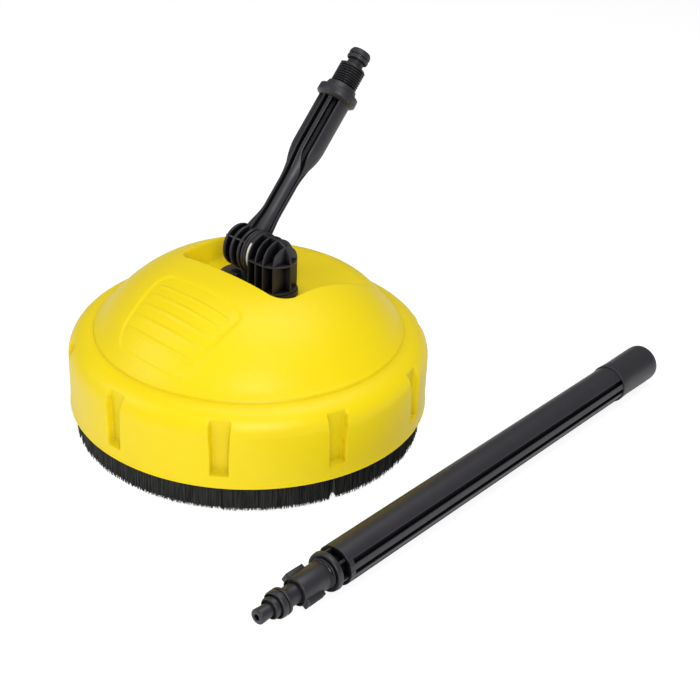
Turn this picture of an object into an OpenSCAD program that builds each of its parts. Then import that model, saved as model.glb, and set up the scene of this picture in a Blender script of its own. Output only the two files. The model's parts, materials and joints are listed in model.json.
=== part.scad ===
// Patio surface cleaner with a tilting inlet arm and a separate extension lance.
// Z is up, the bristle tips stand on Z = 0 and the rotor turns about the Z axis.
// The head's front, with its ribbed pad, faces -Y, and the inlet arm leans back to +Y.

/* [Housing] */
// Radius of the skirt
skirt_r = 140; // [136:0.5:146]
// Height of the housing's lower rim above the floor
rim_z = 21; // [19:0.5:23]
// Height where the skirt starts to round over
shoulder_z = 61.5; // [58:0.5:66]
// Radius of the rounded shoulder
shoulder_r = 19.5; // [18:0.5:22]
// Height of the top of the dome
dome_top_z = 134; // [132:0.5:138]
// Thickness of the moulded walls
wall = 2.6; // [2.2:0.1:3]
// Number of notches around the skirt
notch_count = 10; // [6:1:12]
// Depth of each notch
notch_depth = 5.2; // [3:0.1:5.4]
// Width of a notch at the skirt's surface
notch_w = 16; // [12:0.5:20]
// Height of the bottom of each notch
notch_z = 31; // [29:0.5:34]

/* [Recesses] */
// Distance of the recess's front edge in front of the axis
recess_front = 24; // [22:0.5:27]
// Half width of the recess at its front
recess_half_w = 53; // [50:0.5:56]
// Height of the recess floor
recess_z = 111; // [109:0.5:112]
// Depth of the thumb pad
pad_depth = 1; // [0.6:0.1:1.4]
// Number of ribs on the pad
pad_ribs = 5; // [3:1:6]

/* [Pivot] */
// Distance of the hinge axis behind the rotor axis
hinge_y = 9; // [8:0.5:10]
// Height of the hinge axis
hinge_z = 139.5; // [139:0.5:142]
// Radius of the two hinge barrels
barrel_r = 16.5; // [16:0.25:17.5]
// Thickness of the barrels' ribs
rib_t = 1.5; // [1.2:0.1:2]
// Radius of the solid core inside the ribs
core_r = 10.5; // [10:0.25:12]
// Radius of the hinge pin
pin_r = 6; // [5:0.25:7]

/* [Inlet arm] */
// Angle of the arm above the floor when at rest
arm_angle = 46.9; // [30:0.1:60]
// Sideways place of the arm's centre line
arm_x = -8.5; // [-10:0.5:-7]
// Distance of the collar from the hinge axis
collar_s = 135; // [130:1:140]
// Radius of the fluted grip
grip_r = 13; // [12:0.5:14]
// Radius of the inlet thread over its crests
thread_r = 10.85; // [10.7:0.05:11]
// Distance from one crest to the next
thread_pitch = 2; // [1.5:0.5:2]
// Radius of the spigot's tip
spigot_r = 8; // [7.5:0.1:8.5]

/* [Brush and rotor] */
// Outer radius of the ring of bristles
brush_r = 136.7; // [135:0.1:136.8]
// Width of the ring of bristles
brush_w = 8; // [6:0.5:9]
// Number of bristle strips around the ring
strip_count = 10; // [8:1:12]
// Number of screws in the brush carrier
carrier_screws = 10; // [5:5:10]
// Distance of each nozzle from the rotor axis
nozzle_reach = 98; // [85:1:102]
// Height of the rotor's tubes
rotor_z = 47; // [45:0.5:49]
// Tilt of each nozzle, which drives the rotor round
nozzle_tilt = 20; // [10:1:25]

/* [Lance] */
// Sideways place of the lance's axis
lance_x = 196; // [190:1:220]
// Radius of the coupling nut, which the lance rests on
nut_r = 15.65; // [15.5:0.05:16]
// Place of the plug's tip along Y
lance_tip_y = -190; // [-200:1:-180]
// Place of the far face of the coupling nut
lance_end_y = 277; // [270:1:290]
// Radius of the lance's tube
tube_r = 14.85; // [14:0.05:15.2]
// Depth of the grooves along the tube
groove_depth = 3.4; // [2.5:0.1:4]
// Turn of the plug about the lance's axis
plug_turn = -30; // [-45:1:0]

/* [Hidden] */
$fn = 96;
eps = 0.01;
seal_gap = 0.02;
run_gap = 0.05;
housing_yellow = "#f3dc23";
moulded_black = "#232325";
steel = "#b9bdc1";
brass = "#b08d4a";
nylon = "#eceae2";
nitrile = "#161617";

// ---- shared shapes ----
// A ring about Z between two radii and two heights
module ring(r_out, r_in, z_low, z_high) {
  translate([0, 0, z_low])
    difference() {
      cylinder(r = r_out, h = z_high - z_low);
      translate([0, 0, -1]) cylinder(r = r_in, h = z_high - z_low + 2);
    }
}

// A torus about Z, centred at a height
module torus(r_mid, r_cord, z) {
  translate([0, 0, z]) rotate_extrude() translate([r_mid, 0]) circle(r = r_cord, $fn = 24);
}

// An O-ring as it lies when squeezed between a groove's floor and a sealed surface
module o_ring(floor_r, sealed_r, z) {
  torus((floor_r + sealed_r) / 2, (sealed_r - floor_r) / 2 - seal_gap, z);
}

// A round bar along X between two places, on the hinge axis
module on_hinge(x_low) {
  translate([x_low, hinge_y, hinge_z]) rotate([0, 90, 0]) children();
}

// The arm's own frame: Z runs out along the arm, X stays the hinge axis
module arm_frame(x = 0) {
  translate([x, hinge_y, hinge_z]) rotate([arm_angle - 90, 0, 0]) children();
}

// The lance's own frame: Z runs from the plug towards the nut
module lance_frame(y = 0) {
  translate([lance_x, y, nut_r]) rotate([-90, 0, 0]) children();
}

// Thread crests with a flat top, as rings one pitch apart
module crests(r_crest, r_root, pitch, count) {
  flat = 0.2 * pitch;
  for (i = [0 : count - 1])
    translate([0, 0, (i + 0.5) * pitch])
      rotate_extrude()
        polygon([
          [r_root - 1, -0.4 * pitch], [r_root, -0.4 * pitch], [r_crest, -flat / 2],
          [r_crest, flat / 2], [r_root, 0.4 * pitch], [r_root - 1, 0.4 * pitch]
        ]);
}

// ---- housing ----
// The dome flattens towards the top: its drop grows with a power of the radius
dome_edge_r = 118.6;
dome_drop = 52.2;
dome_power = 3.24;
dome_steps = 22;
shoulder_centre_r = skirt_r - shoulder_r;
function dome_z(r) = dome_top_z - dome_drop * pow(r / dome_edge_r, dome_power);
function dome_slope(r) = dome_drop * dome_power / dome_edge_r * pow(r / dome_edge_r, dome_power - 1);

// A point of the dome's outline moved inwards by an inset
function dome_point(r, inset) =
  [r - inset * dome_slope(r) / norm([dome_slope(r), 1]), dome_z(r) - inset / norm([dome_slope(r), 1])];

function shoulder_point(a, inset) =
  [shoulder_centre_r + (shoulder_r - inset) * cos(a), shoulder_z + (shoulder_r - inset) * sin(a)];

// The half outline of the solid dome, drawn in by an inset
function housing_outline(inset) = concat(
  [[0, rim_z - (inset > 0 ? 5 : 0)], [skirt_r - inset, rim_z - (inset > 0 ? 5 : 0)]],
  [for (a = [0 : 10 : 90]) shoulder_point(a, inset)],
  [for (i = [0 : dome_steps - 1]) dome_point(dome_edge_r * (1 - i / dome_steps), inset)],
  [[0, dome_top_z - inset]]
);

module housing_solid(inset) {
  rotate_extrude($fn = 180) polygon(housing_outline(inset));
}

// Plan of the recess in the top, which opens to the back, grown by a wall
recess_corner = 20;
recess_back_y = 150;
recess_flare = 0.14;
module recess_plan(grow) {
  corner_x = recess_half_w - recess_corner;
  corner_y = recess_corner - recess_front;
  back_w = recess_half_w + recess_flare * (recess_back_y - corner_y);
  for (s = [-1, 1]) translate([s * corner_x, corner_y]) circle(r = recess_corner + grow);
  translate([-corner_x, -recess_front - grow]) square([2 * corner_x, recess_corner + grow]);
  polygon([
    [-recess_half_w - grow, corner_y], [recess_half_w + grow, corner_y],
    [back_w + grow, recess_back_y], [-back_w - grow, recess_back_y]
  ]);
}

module notch_at(i) {
  rotate([0, 0, i * 360 / notch_count - 90]) children();
}

// One notch's cutter, wider outside than inside, or its backing when grown by a wall
module notch_block(grow) {
  inner_r = skirt_r - notch_depth - grow;
  translate([0, 0, notch_z - grow])
    linear_extrude(60)
      polygon([
        [inner_r, -notch_w / 2 + 2 - grow], [skirt_r + 5, -notch_w / 2 - grow],
        [skirt_r + 5, notch_w / 2 + grow], [inner_r, notch_w / 2 - 2 + grow]
      ]);
}

// Plan of the thumb pad: straight sides drawing in a little towards the front
pad_x = 3.8;
pad_back_y = -51;
pad_front_y = -108.5;
pad_back_w = 44.5;
pad_front_w = 39;
pad_corner = 12;
module pad_plan() {
  for (s = [-1, 1]) {
    translate([s * (pad_back_w - pad_corner), pad_back_y - pad_corner]) circle(r = pad_corner);
    translate([s * (pad_front_w - pad_corner), pad_front_y + pad_corner]) circle(r = pad_corner);
  }
  translate([-pad_back_w + pad_corner, pad_back_y - pad_corner])
    square([2 * (pad_back_w - pad_corner), pad_corner]);
  translate([-pad_front_w + pad_corner, pad_front_y])
    square([2 * (pad_front_w - pad_corner), pad_corner]);
  polygon([
    [-pad_back_w, pad_back_y - pad_corner], [pad_back_w, pad_back_y - pad_corner],
    [pad_front_w, pad_front_y + pad_corner], [-pad_front_w, pad_front_y + pad_corner]
  ]);
}

rib_first_y = -63.2;
rib_step = 8.6;
pad_rib_w = 2.8;
module pad_ribs_block() {
  for (i = [0 : pad_ribs - 1]) {
    half = 37.3 - i * 0.3;
    translate([pad_x - half, rib_first_y - i * rib_step - pad_rib_w / 2, 60])
      cube([2 * half, pad_rib_w, 80]);
  }
}

boss_r = 124;
boss_size = 4;
carrier_z = rim_z + 0.5;
carrier_top_z = carrier_z + 6.5;
hub_screw_x = 17;
hub_screw_dy = 8;
stem_r = 7.4;
stem_groove = 1.5;

module dome_housing() {
  color(housing_yellow)
    difference() {
      union() {
        difference() {
          housing_solid(0);
          housing_solid(wall);
          // thumb pad: a shallow tray in the dome's surface
          difference() {
            translate([pad_x, 0, 60]) linear_extrude(90) pad_plan();
            housing_solid(pad_depth);
          }
        }
        intersection() {
          pad_ribs_block();
          difference() {
            housing_solid(0);
            housing_solid(pad_depth + 0.5);
          }
        }
        intersection() {
          housing_solid(0);
          union() {
            for (i = [0 : notch_count - 1]) notch_at(i) notch_block(wall);
            translate([0, 0, recess_z - wall]) linear_extrude(40) recess_plan(wall);
          }
        }
        // bosses for the brush carrier's screws, each tied to the skirt by a web
        for (i = [0 : carrier_screws - 1])
          rotate([0, 0, (i + 0.5) * 360 / carrier_screws - 90]) {
            translate([boss_r, 0, carrier_top_z]) cylinder(r = boss_size, h = 34);
            translate([boss_r, -1, carrier_top_z]) cube([skirt_r - wall - boss_r + 0.5, 2, 30]);
          }
      }
      for (i = [0 : notch_count - 1]) notch_at(i) notch_block(0);
      translate([0, 0, recess_z]) linear_extrude(60) recess_plan(0);
      translate([0, 0, recess_z - 10]) cylinder(r = stem_r + 0.2, h = 20);
      for (sx = [-1, 1], sy = [-1, 1])
        translate([sx * hub_screw_x, hinge_y + sy * hub_screw_dy, recess_z - 10]) cylinder(r = 2.2, h = 20);
      for (i = [0 : carrier_screws - 1])
        rotate([0, 0, (i + 0.5) * 360 / carrier_screws - 90])
          translate([boss_r, 0, carrier_top_z - 1]) cylinder(r = 1.5, h = 17);
    }
}

// ---- brush ----
brush_root_z = carrier_z + 4.5;
module brush_carrier() {
  color(moulded_black)
    difference() {
      ring(skirt_r - wall - 0.3, boss_r - 5, carrier_z, carrier_top_z);
      ring(brush_r + 0.05, brush_r - brush_w - 0.05, carrier_z - 1, brush_root_z);
      for (i = [0 : carrier_screws - 1])
        rotate([0, 0, (i + 0.5) * 360 / carrier_screws - 90])
          translate([boss_r, 0, carrier_z - 1]) cylinder(r = 2.1, h = 10);
    }
}

// The bristles as one band, parted by a narrow slit where two strips meet
split_w = 1.2;
split_depth = 5.5;
module brush_ring() {
  color(nitrile)
    difference() {
      ring(brush_r, brush_r - brush_w, 0, brush_root_z - 0.02);
      for (i = [0 : strip_count - 1])
        rotate([0, 0, (i + 0.5) * 360 / strip_count])
          translate([brush_r - split_depth, -split_w / 2, -1]) cube([20, split_w, rim_z]);
    }
}

module carrier_screws_set() {
  color(steel)
    for (i = [0 : carrier_screws - 1])
      rotate([0, 0, (i + 0.5) * 360 / carrier_screws - 90]) translate([boss_r, 0, 0])
        screw(carrier_z, 2, 1.45, 20);
}

// A pan-head screw pointing up, its head under a face
module screw(face_z, head_h, shank_r, length) {
  difference() {
    union() {
      translate([0, 0, face_z - head_h]) cylinder(r = 2.6 * shank_r / 1.45, h = head_h);
      translate([0, 0, face_z - eps]) cylinder(r = shank_r, h = length);
    }
    translate([-2, -0.35, face_z - head_h - 1]) cube([4, 0.7, 1.8]);
    translate([-0.35, -2, face_z - head_h - 1]) cube([0.7, 4, 1.8]);
  }
}

// ---- pivot upright ----
washer_x = 1.2;
washer_t = 2.6;
post_x = washer_x + washer_t + 0.2;
post_end_x = 17.5;
plinth_r = 17.5;
plinth_x = 18;
plinth_top_z = recess_z + 5;
pin_end_x = 27;

// The outer form of the upright: a post with a rounded end under a barrel with a round end
module post_form(r, z_low) {
  translate([post_end_x, hinge_y, z_low]) cylinder(r = r, h = hinge_z - z_low);
  translate([post_x, hinge_y - r, z_low]) cube([post_end_x - post_x, 2 * r, hinge_z - z_low]);
  on_hinge(post_x) cylinder(r = r, h = post_end_x - post_x);
  translate([post_end_x, hinge_y, hinge_z]) sphere(r = r);
}

hoop_step = 7.6;
module post_ribs() {
  for (i = [0 : 3])
    translate([post_x + i * hoop_step, hinge_y - 20, plinth_top_z - 1]) cube([rib_t, 40, 60]);
  translate([post_x, hinge_y - rib_t / 2, plinth_top_z - 1]) cube([40, rib_t, 60]);
  translate([post_x, hinge_y - 20, hinge_z - rib_t / 2]) cube([40, 40, rib_t]);
  translate([post_x, hinge_y - 20, plinth_top_z - 1]) cube([40, 40, 3]);
}

module plinth_plan(r) {
  for (s = [-1, 1]) translate([s * plinth_x, hinge_y]) circle(r = r);
  translate([-plinth_x, hinge_y - r]) square([2 * plinth_x, 2 * r]);
}

module pivot_upright() {
  color(moulded_black)
    difference() {
      union() {
        intersection() {
          post_form(barrel_r, plinth_top_z - 1);
          post_ribs();
        }
        post_form(core_r, plinth_top_z - 1);
        translate([0, 0, recess_z]) linear_extrude(plinth_top_z - recess_z) plinth_plan(plinth_r);
        translate([0, 0, recess_z - wall - 8]) cylinder(r = stem_r, h = wall + 9);
        for (sy = [-1, 1])
          translate([-hub_screw_x, hinge_y + sy * hub_screw_dy, recess_z]) cylinder(r = 4, h = 9);
      }
      on_hinge(post_x - 1) cylinder(r = pin_r + 0.01, h = pin_end_x - post_x + 1);
      // water way: down the post, across the plinth and out through the stem
      translate([post_end_x, hinge_y, recess_z + 2.5]) cylinder(r = 2, h = hinge_z - recess_z - 3);
      gallery = [post_end_x, hinge_y];
      rotate([0, 0, atan2(gallery.y, gallery.x)]) translate([0, 0, recess_z + 2.5])
        rotate([0, 90, 0]) cylinder(r = 1.8, h = norm(gallery));
      translate([0, 0, recess_z - wall - 9]) cylinder(r = 2, h = wall + 11.5);
      ring(stem_r + 1, stem_r - stem_groove, stem_ring_z - 1.1, stem_ring_z + 1.1);
      for (sx = [-1, 1], sy = [-1, 1])
        translate([sx * hub_screw_x, hinge_y + sy * hub_screw_dy, recess_z - 1]) cylinder(r = 1.65, h = 9);
    }
}

hub_top_z = recess_z - wall;
stem_ring_z = hub_top_z - 4.5;
module stem_o_ring() {
  color(nitrile) o_ring(stem_r - stem_groove, stem_r + run_gap, stem_ring_z);
}

module upright_screws() {
  color(steel)
    for (sx = [-1, 1], sy = [-1, 1])
      translate([sx * hub_screw_x, hinge_y + sy * hub_screw_dy, 0]) screw(hub_top_z - 6, 2.2, 1.6, 15);
}

// ---- rotor hub ----
bearing_r = 13;
bearing_bore_r = 5;
bearing_t = 8;
seal_z = hub_top_z - 18.4;
upper_bearing_z = seal_z - bearing_t;
spacer_t = 8;
lower_bearing_z = upper_bearing_z - spacer_t - bearing_t;
clip_z = lower_bearing_z - 1.4;
hub_bottom_z = clip_z - 3;
hub_web_z = hub_bottom_z + 14;
module hub_body() {
  color(moulded_black)
    difference() {
      union() {
        translate([0, 0, hub_top_z - 6]) cylinder(r = 34, h = 6);
        translate([0, 0, hub_bottom_z]) cylinder(r = bearing_r + 4, h = hub_top_z - hub_bottom_z - 3);
        for (a = [45 : 90 : 315]) rotate([0, 0, a])
          translate([bearing_r + 2, -1.25, hub_web_z]) cube([14, 2.5, hub_top_z - 5 - hub_web_z]);
      }
      translate([0, 0, hub_bottom_z - 1]) cylinder(r = bearing_r + 0.01, h = seal_z + 5 - hub_bottom_z + 1);
      translate([0, 0, seal_z]) cylinder(r = 2.5, h = 30);
      translate([0, 0, hub_top_z - 8.2]) cylinder(r = stem_r + run_gap, h = 10);
      ring(bearing_r + 0.9, bearing_r - 1, clip_z, clip_z + 1.25);
      for (sx = [-1, 1], sy = [-1, 1])
        translate([sx * hub_screw_x, hinge_y + sy * hub_screw_dy, 0]) {
          translate([0, 0, hub_top_z - 10]) cylinder(r = 1.8, h = 20);
          translate([0, 0, hub_top_z - 18]) cylinder(r = 4, h = 12);
        }
    }
}

ball_count = 7;
ball_r = 2.38;
module ball_bearing(z) {
  mid_r = (bearing_r + bearing_bore_r) / 2;
  difference() {
    union() {
      ring(bearing_r, bearing_r - 2.2, z, z + bearing_t);
      ring(bearing_bore_r + 2.2, bearing_bore_r + run_gap, z, z + bearing_t);
    }
    torus(mid_r, ball_r + 0.07, z + bearing_t / 2);
  }
  for (i = [0 : ball_count - 1])
    rotate([0, 0, i * 360 / ball_count])
      translate([mid_r, 0, z + bearing_t / 2]) sphere(r = ball_r, $fn = 32);
}

module upper_bearing() { color(steel) ball_bearing(upper_bearing_z); }
module lower_bearing() { color(steel) ball_bearing(lower_bearing_z); }

module bearing_spacer() {
  color(steel)
    ring(bearing_r - 0.05, bearing_r - 2, lower_bearing_z + bearing_t + 0.02, upper_bearing_z - 0.02);
}

module shaft_seal() {
  color(nitrile) ring(bearing_r - 0.05, bearing_bore_r + run_gap, seal_z + 0.05, seal_z + 4.8);
}

module retaining_ring() {
  color(steel)
    difference() {
      ring(bearing_r + 0.8, bearing_r - 2.2, clip_z + 0.1, clip_z + 1.15);
      translate([0, -3, clip_z - 1]) cube([20, 6, 4]);
    }
}

// ---- rotor ----
rotor_boss_r = 13;
rotor_top_z = rotor_z + 9;
rotor_low_z = rotor_z - 8;
shaft_end_r = 4;
module rotor_shaft() {
  color(steel)
    difference() {
      union() {
        translate([0, 0, rotor_top_z]) cylinder(r = bearing_bore_r, h = seal_z + 4.5 - rotor_top_z);
        translate([0, 0, rotor_top_z]) cylinder(r = 7, h = lower_bearing_z - 0.4 - rotor_top_z);
        translate([0, 0, rotor_low_z - 8]) cylinder(r = shaft_end_r, h = rotor_top_z - rotor_low_z + 9);
      }
      translate([0, 0, rotor_z - 3]) cylinder(r = 1.8, h = 100);
      translate([-20, 0, rotor_z]) rotate([0, 90, 0]) cylinder(r = 1.5, h = 40);
    }
}

module rotor_arm() {
  color(moulded_black)
    difference() {
      union() {
        translate([0, 0, rotor_low_z]) cylinder(r = rotor_boss_r, h = rotor_top_z - rotor_low_z);
        for (s = [0, 180]) rotate([0, 0, s]) {
          translate([5, 0, rotor_z]) rotate([0, 90, 0]) cylinder(r = 5.5, h = nozzle_reach - 5);
          translate([8, -1.5, rotor_low_z + 1]) cube([nozzle_reach - 12, 3, rotor_top_z - rotor_low_z - 3]);
          translate([nozzle_reach, 0, rotor_z]) sphere(r = 9);
          translate([nozzle_reach, 0, rotor_z]) rotate([nozzle_tilt, 0, 0])
            translate([0, 0, -14]) cylinder(r = 7.5, h = 14);
        }
      }
      translate([0, 0, rotor_low_z - 1]) cylinder(r = shaft_end_r + 0.01, h = 40);
      for (s = [0, 180]) rotate([0, 0, s]) {
        translate([2, 0, rotor_z]) rotate([0, 90, 0]) cylinder(r = 2, h = nozzle_reach - 2);
        translate([nozzle_reach, 0, rotor_z]) rotate([nozzle_tilt, 0, 0]) {
          translate([0, 0, -13]) cylinder(r = 2, h = 13);
          translate([0, 0, -15]) cylinder(r = 4.01, h = 9);
        }
      }
    }
}

module rotor_nut() {
  color(steel)
    difference() {
      translate([0, 0, rotor_low_z - 6.5]) cylinder(r = 7.5, h = 6.5, $fn = 6);
      translate([0, 0, rotor_low_z - 8]) cylinder(r = shaft_end_r + 0.01, h = 10);
    }
}

module nozzle(turn) {
  color(brass)
    rotate([0, 0, turn]) translate([nozzle_reach, 0, rotor_z]) rotate([nozzle_tilt, 0, 0])
      difference() {
        union() {
          translate([0, 0, -14.5]) cylinder(r = 4, h = 8.4);
          translate([0, 0, -17.5]) cylinder(r = 5.5, h = 3.48, $fn = 6);
        }
        translate([0, 0, -18]) cylinder(r = 0.6, h = 14);
        translate([0, 0, -12]) cylinder(r = 1.8, h = 8);
        translate([-6, -0.8, -19]) cube([12, 1.6, 2.4]);
      }
}
module nozzle_a() { nozzle(0); }
module nozzle_b() { nozzle(180); }

// ---- inlet arm ----
lobe_end_x = washer_x - 0.2;
lobe_ball_x = -17.7;
neck_start_s = 12;
waist_s = 50;
grip_start_s = 84;
thread_turns = 9;
thread_s = collar_s + 10.5;
spigot_s = thread_s + thread_turns * thread_pitch + 0.5;
spigot_tip_s = spigot_s + 13;
spigot_ring_s = spigot_s + 8.5;
spigot_groove = 1.9;

// The hinge barrel's outer form, with a ball end
module lobe_form(r) {
  translate([lobe_ball_x, 0, 0]) rotate([0, 90, 0]) cylinder(r = r, h = lobe_end_x - lobe_ball_x);
  translate([lobe_ball_x, 0, 0]) sphere(r = r);
}

// A thick end flange, three thin hoops and four fins along the barrel
end_flange_t = 3.6;
first_hoop_x = lobe_end_x - 7.8;
module lobe_ribs() {
  translate([lobe_end_x - end_flange_t, -20, -20]) cube([end_flange_t, 40, 40]);
  for (i = [0 : 2])
    translate([first_hoop_x - i * hoop_step, -20, -20]) cube([rib_t, 40, 40]);
  translate([-40, -20, -rib_t / 2]) cube([60, 40, rib_t]);
  translate([-40, -rib_t / 2, -20]) cube([60, rib_t, 40]);
}

// The neck: a web between two flanges, drawing in at the waist
module neck() {
  translate([0, 0, neck_start_s]) cylinder(r1 = 9, r2 = 6.6, h = waist_s - neck_start_s);
  translate([0, 0, waist_s]) cylinder(r1 = 6.6, r2 = grip_r - 2, h = grip_start_s - waist_s);
  for (s = [-1, 1]) {
    root_w = s < 0 ? 13.5 : 9.3;
    rotate([90, 0, 0])
      linear_extrude(9, center = true)
        polygon([
          [s * root_w, neck_start_s - 4], [s * 9.2, neck_start_s + 12], [s * 7.6, waist_s],
          [s * (grip_r - 0.5), grip_start_s], [s * (grip_r - 3.5), grip_start_s], [s * 5.4, waist_s],
          [s * 7, neck_start_s - 4]
        ]);
  }
}

flute_w = 3.2;
module grip() {
  difference() {
    translate([0, 0, grip_start_s - 10]) {
      cylinder(r1 = grip_r - 5, r2 = grip_r, h = 10);
      translate([0, 0, 10]) cylinder(r = grip_r, h = collar_s - grip_start_s);
    }
    for (side = [-1, 1], i = [-1, 0, 1])
      translate([i * 6.6 - flute_w / 2, side > 0 ? 7.5 - abs(i) : -20, grip_start_s - 6])
        cube([flute_w, 12.5 + abs(i), collar_s - grip_start_s + 2]);
  }
}

// The collar: a band with a short slope under it and two slopes up to the thread
collar_r = 15.9;
module collar() {
  translate([0, 0, collar_s - 2]) cylinder(r1 = grip_r, r2 = collar_r, h = 2);
  translate([0, 0, collar_s]) cylinder(r = collar_r, h = 5.3);
  translate([0, 0, collar_s + 5.3]) cylinder(r1 = collar_r, r2 = 13.3, h = 1.9);
  translate([0, 0, collar_s + 7.2]) cylinder(r1 = 13.3, r2 = 11.2, h = 2.8);
}

module inlet_arm() {
  color(moulded_black)
    arm_frame()
      difference() {
        union() {
          intersection() {
            lobe_form(barrel_r);
            lobe_ribs();
          }
          lobe_form(core_r);
          translate([arm_x, 0, 0]) {
            neck();
            grip();
            collar();
            translate([0, 0, collar_s + 9]) cylinder(r = thread_r - 1.2, h = spigot_s - collar_s - 9);
            translate([0, 0, thread_s]) crests(thread_r, thread_r - 1.2, thread_pitch, thread_turns);
            translate([0, 0, spigot_s - 0.5]) cylinder(r = 7, h = 6);
            translate([0, 0, spigot_s + 5.5]) cylinder(r = spigot_r, h = 6);
            translate([0, 0, spigot_s + 11.5]) cylinder(r1 = spigot_r, r2 = spigot_r - 1.2, h = 1.5);
          }
        }
        translate([clip_x - 1, 0, 0]) rotate([0, 90, 0]) cylinder(r = pin_r + run_gap, h = 40);
        translate([-60, 0, 0]) rotate([0, 90, 0]) cylinder(r = cap_r + 0.05, h = 61.2 + clip_x);
        translate([arm_x, 0, 0]) cylinder(r = 2.5, h = 200);
        translate([arm_x, 0, spigot_tip_s - 12]) cylinder(r = 4.6, h = 20);
        translate([arm_x, 0, spigot_ring_s]) ring(spigot_r + 1, spigot_r - spigot_groove, -1.1, 1.1);
      }
}

module spigot_o_ring() {
  color(nitrile) arm_frame(arm_x) o_ring(spigot_r - spigot_groove, spigot_r, spigot_ring_s);
}

// The strainer: a cup with slots that sits in the spigot's mouth
module inlet_strainer() {
  color(steel)
    arm_frame(arm_x)
      difference() {
        translate([0, 0, spigot_tip_s - 11.9]) cylinder(r = 4.55, h = 11);
        translate([0, 0, spigot_tip_s - 11]) cylinder(r = 3.7, h = 20);
        for (a = [0 : 45 : 135]) rotate([0, 0, a])
          translate([-6, -0.5, spigot_tip_s - 10]) cube([12, 1, 6]);
      }
}

clip_x = -20.5;
cap_x = -26.8;
cap_r = 7.7;
pin_start_x = clip_x - 2;
pin_groove = 1.3;
module hinge_pin() {
  color(steel)
    difference() {
      on_hinge(pin_start_x) cylinder(r = pin_r, h = pin_end_x - pin_start_x - 1);
      on_hinge(arm_x) cylinder(r = 2, h = post_end_x - arm_x + 2);
      on_hinge(arm_x) ring(pin_r + 1, pin_r - 1, -2, 2);
      translate([post_end_x, hinge_y, hinge_z - 10]) cylinder(r = 2, h = 10);
      for (x = [arm_x - 6, arm_x + 6, post_x + 5])
        on_hinge(x) ring(pin_r + 1, pin_r - pin_groove, -1.1, 1.1);
      on_hinge(clip_x) ring(pin_r + 1, pin_r - 0.8, 0, 1.1);
      arm_frame(arm_x) cylinder(r = 1.8, h = pin_r + 1);
    }
}

module hinge_o_rings() {
  color(nitrile)
    for (x = [arm_x - 6, arm_x + 6, post_x + 5])
      on_hinge(x) o_ring(pin_r - pin_groove, pin_r, 0);
}

module hinge_washer() {
  color(nylon) on_hinge(washer_x) ring(barrel_r - 0.9, pin_r + run_gap, 0, washer_t);
}

module hinge_clip() {
  color(steel)
    on_hinge(clip_x)
      difference() {
        ring(pin_r + 1.3, pin_r - 0.75, 0.05, 1.05);
        translate([0, -3, -1]) cube([12, 6, 4]);
      }
}

// The cap that closes the barrel's end over the clip, domed like the barrel
module hinge_cap() {
  color(moulded_black)
    arm_frame()
      intersection() {
        translate([cap_x - 6, 0, 0]) rotate([0, 90, 0]) cylinder(r = cap_r, h = 6);
        translate([lobe_ball_x, 0, 0]) sphere(r = core_r + 4);
      }
}

// ---- lance ----
tube_y = -116;
tube_end_y = 224;
flange_y = -127;
pipe_r = 5.5;
socket_y = tube_end_y - 30;
socket_r = 8;
module lance_tube() {
  color(moulded_black)
    lance_frame(tube_y)
      difference() {
        cylinder(r = tube_r, h = tube_end_y - tube_y);
        translate([0, 0, -1]) cylinder(r = pipe_r + 0.02, h = 400);
        translate([0, 0, socket_y - tube_y]) cylinder(r = socket_r + 0.02, h = 40);
        for (side = [0, 180], a = [-33, 0, 33]) rotate([0, 0, side + a])
          translate([tube_r - groove_depth, -2.2, 5]) cube([groove_depth + 2, 4.4, tube_end_y - tube_y - 12]);
      }
}

module lance_pipe() {
  color(steel)
    lance_frame(tube_y - 4)
      difference() {
        cylinder(r = pipe_r, h = socket_y - tube_y + 3.98);
        translate([0, 0, -1]) cylinder(r = 3.5, h = 400);
      }
}

plug_barrel_y = -155;
plug_land_y = -179;
nose_r = 5.4;
land_r = 9.1;
land_groove = 1.95;
land_ring_y = plug_land_y + 9.5;
stop_groove_r = 8.4;
stop_ring_y = flange_y - 1.8;
plug_neck_r = 8.4;
module lance_plug() {
  color(moulded_black)
    difference() {
      union() {
        lance_frame(lance_tip_y) cylinder(r1 = nose_r - 0.6, r2 = nose_r, h = 1);
        lance_frame(lance_tip_y + 1) cylinder(r = nose_r, h = 12);
        lance_frame(plug_land_y) cylinder(r1 = 7, r2 = 7.9, h = 5);
        lance_frame(plug_land_y + 5) cylinder(r = land_r, h = 7);
        lance_frame(plug_land_y + 12) cylinder(r = 7.9, h = 14);
        lance_frame(plug_barrel_y) cylinder(r = 9.75, h = flange_y - plug_barrel_y + 1);
        lance_frame(plug_barrel_y + 1) rotate([0, 0, -plug_turn])
          translate([-12.8, -3.8, 0]) cube([25.6, 7.6, 16.5]);
        lance_frame(flange_y) cylinder(r = 14, h = 3.6);
        lance_frame(flange_y + 3) cylinder(r = plug_neck_r, h = tube_y - flange_y - 3);
        for (a = [0 : 60 : 300]) lance_frame(flange_y + 3) rotate([0, 0, a + 12])
          translate([6, -1, 0]) cube([7.6, 2, tube_y - flange_y - 3]);
      }
      lance_frame(lance_tip_y - 1) cylinder(r = 2.5, h = 80);
      lance_frame(tube_y - 4) cylinder(r = pipe_r + 0.01, h = 10);
      lance_frame(land_ring_y) ring(12, land_r - land_groove, -1.1, 1.1);
      lance_frame(stop_ring_y) ring(12, stop_groove_r, -1.2, 1.2);
      lance_frame(plug_barrel_y + 5) rotate([0, 0, -plug_turn])
        for (s = [-1, 1]) translate([s * 11.2 - 0.9, s > 0 ? -4.8 : 2.3, 0]) cube([1.8, 2.5, 8]);
    }
}

module plug_o_rings() {
  color(nitrile) {
    lance_frame(land_ring_y) o_ring(land_r - land_groove, land_r, 0);
    lance_frame(stop_ring_y) o_ring(stop_groove_r, stop_groove_r + 2.1, 0);
  }
}

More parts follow.
